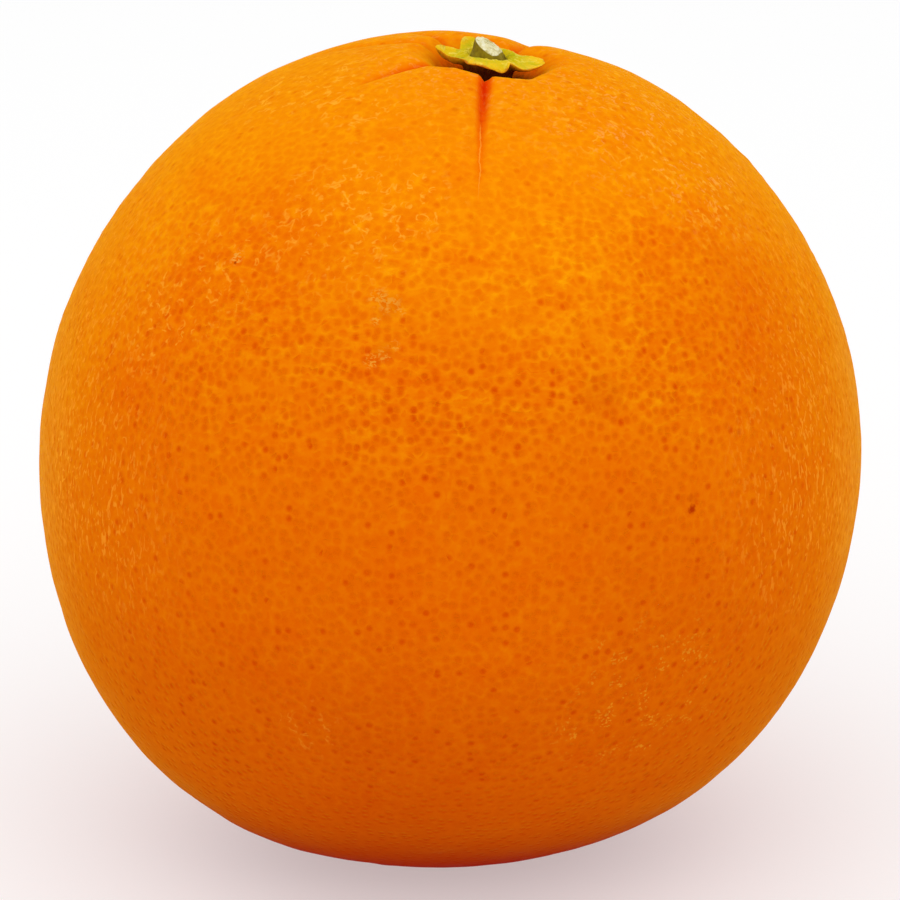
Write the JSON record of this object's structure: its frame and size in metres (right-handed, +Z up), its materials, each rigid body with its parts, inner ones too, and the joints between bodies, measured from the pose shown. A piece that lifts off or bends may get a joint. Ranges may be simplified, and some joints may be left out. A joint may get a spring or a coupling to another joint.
{
  "type": "orange",
  "caption": "Whole round orange with a dimpled, creased stem end, a five-lobed green calyx and a short cut stub of stem.",
  "frame": {"origin": "centre of the flat spot that the fruit rests on", "axes": "+Z up through the fruit to its stem end, which leans 5.4 degrees towards +X; the deepest crease in the stem end runs towards -Y"},
  "size_m": [0.0798, 0.0805, 0.081],
  "materials": {
    "rind": "waxy, pitted orange peel with a soft sheen",
    "sepal": "matt yellow-green leaf with dry brown edges",
    "stem": "olive green bark with a dry, pale cut end"
  },
  "bodies": {
    "root": {"fruit": "rind", "calyx": "sepal", "stem_stub": "stem"}
  },
  "joints": []
}
